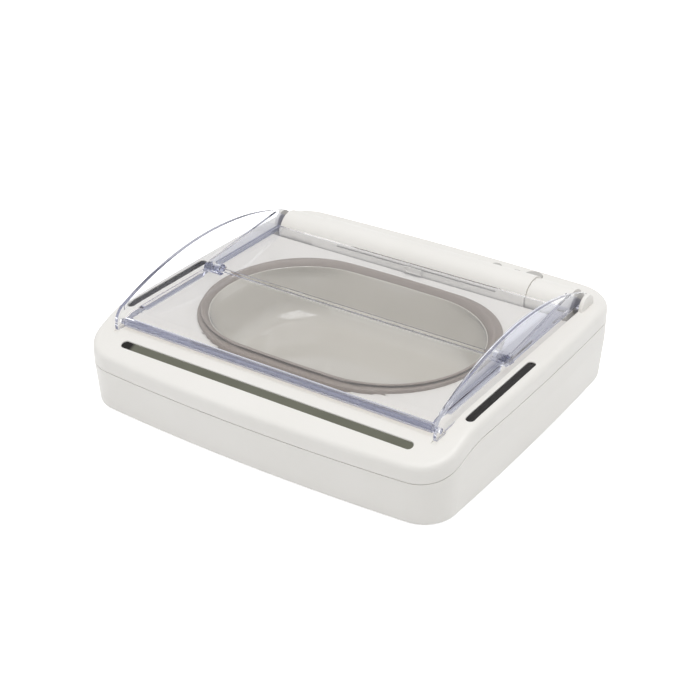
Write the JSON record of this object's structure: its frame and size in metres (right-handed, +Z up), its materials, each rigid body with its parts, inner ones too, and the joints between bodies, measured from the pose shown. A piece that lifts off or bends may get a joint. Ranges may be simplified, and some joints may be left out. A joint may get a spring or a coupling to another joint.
{
  "type": "sealed pet feeder",
  "caption": "Low pet feeder: a round-cornered bowl sunk in a white housing under a clear lid that folds open on a geared shaft, with dark sensor windows in the rim.",
  "frame": {"origin": "centre of the footprint, on the ground under the rubber feet", "axes": "+X to the right seen from the front, +Y to the back where the drive tube is, +Z up"},
  "size_m": [0.23, 0.206, 0.0696],
  "materials": {
    "white_plastic": "satin moulded",
    "clear_plastic": "polished clear",
    "window_plastic": "dark tinted, smooth",
    "bowl_plastic": "polished",
    "seal_rubber": "soft, matt",
    "button_plastic": "satin",
    "clear_light": "smooth",
    "silicone": "soft, matt",
    "steel": "drawn bar",
    "nylon": "natural nylon",
    "circuit_board": "solder mask",
    "cell_jacket": "printed jacket",
    "nickel": "nickel plated",
    "foot_rubber": "soft, matt"
  },
  "bodies": {
    "housing": {"upper_shell": "white_plastic", "lower_shell": "white_plastic", "bowl": "bowl_plastic", "bowl_seal": "seal_rubber", "front_sensor_window": "window_plastic", "right_sensor_window": "window_plastic", "left_sensor_window": "window_plastic", "front_sensor_board": "circuit_board", "right_sensor_board": "circuit_board", "left_sensor_board": "circuit_board", "drive_tube": "white_plastic", "right_end_cap": "white_plastic", "left_end_cap": "white_plastic", "shaft_bushes": "nylon", "tube_cover": "white_plastic", "idler_axle": "steel", "motor_bracket": "white_plastic", "gear_motor": "nickel", "large_button_dome": "silicone", "small_button_dome": "silicone", "control_board": "circuit_board", "button_switches": "window_plastic", "status_light": "clear_light", "battery_cells": "cell_jacket", "battery_contacts": "nickel", "rubber_feet": "foot_rubber", "case_screws": "steel"},
    "lid_arms": {"left_lid_arm": "clear_plastic", "right_lid_arm": "clear_plastic", "drive_shaft": "steel", "shaft_gear": "nylon"},
    "front_panel": {"front_lid_panel": "clear_plastic", "front_rod": "clear_plastic"},
    "rear_panel": {"rear_lid_panel": "clear_plastic", "mid_hinge_pins": "clear_plastic"},
    "idler": {"idler_gear": "nylon"},
    "motor_output": {"motor_pinion": "steel"},
    "large_button_body": {"large_button": "button_plastic"},
    "small_button_body": {"small_button": "button_plastic"},
    "catch": {"lid_catch": "white_plastic"},
    "left_door": {"left_battery_door": "white_plastic"},
    "right_door": {"right_battery_door": "white_plastic"}
  },
  "joints": [
    {"name": "lid_arm_hinge", "type": "hinge", "parent": "housing", "child": "lid_arms", "pos_m": [0, 0.074, 0.0445], "axis": [-1, 0, 0], "range_deg": [0, 80]},
    {"name": "rear_panel_hinge", "type": "hinge", "parent": "housing", "child": "rear_panel", "pos_m": [0, 0.0792, 0.045], "axis": [-1, 0, 0], "range_deg": [0, 88.3]},
    {"name": "front_panel_hinge", "type": "hinge", "parent": "lid_arms", "child": "front_panel", "pos_m": [0, -0.0775, 0.0462], "axis": [-1, 0, 0], "range_deg": [-14.1, 0]},
    {"name": "idler_gear_spin", "type": "hinge", "parent": "housing", "child": "idler", "pos_m": [0, 0.08305, 0.03545], "axis": [-1, 0, 0], "range_deg": [-133.4, 0]},
    {"name": "motor_pinion_spin", "type": "hinge", "parent": "housing", "child": "motor_output", "pos_m": [0, 0.0932, 0.03072], "axis": [-1, 0, 0], "range_deg": [0, 240]},
    {"name": "large_button_press", "type": "slide", "parent": "housing", "child": "large_button_body", "axis": [0, 0, -1], "range_m": [0, 0.0007], "stiffness_N_per_m": 400, "springref_m": -0.0006, "deforming": ["large_button_dome"]},
    {"name": "small_button_press", "type": "slide", "parent": "housing", "child": "small_button_body", "axis": [0, 0, -1], "range_m": [0, 0.0007], "stiffness_N_per_m": 400, "springref_m": -0.0006, "deforming": ["small_button_dome"]},
    {"name": "lid_catch_press", "type": "slide", "parent": "housing", "child": "catch", "axis": [0, 1, 0], "range_m": [0, 0.0007], "stiffness_N_per_m": 400, "springref_m": -0.0006},
    {"name": "left_door_hinge", "type": "hinge", "parent": "housing", "child": "left_door", "pos_m": [0, 0.06, 0.0032], "axis": [-1, 0, 0], "range_deg": [0, 100]},
    {"name": "right_door_hinge", "type": "hinge", "parent": "housing", "child": "right_door", "pos_m": [0, 0.06, 0.0032], "axis": [-1, 0, 0], "range_deg": [0, 100]}
  ],
  "couplings": [
    {"joint": "rear_panel_hinge", "follows": "lid_arm_hinge", "ratio": 1.103},
    {"joint": "front_panel_hinge", "follows": "lid_arm_hinge", "ratio": -0.176},
    {"joint": "idler_gear_spin", "follows": "lid_arm_hinge", "ratio": -1.6667},
    {"joint": "motor_pinion_spin", "follows": "lid_arm_hinge", "ratio": 3}
  ]
}
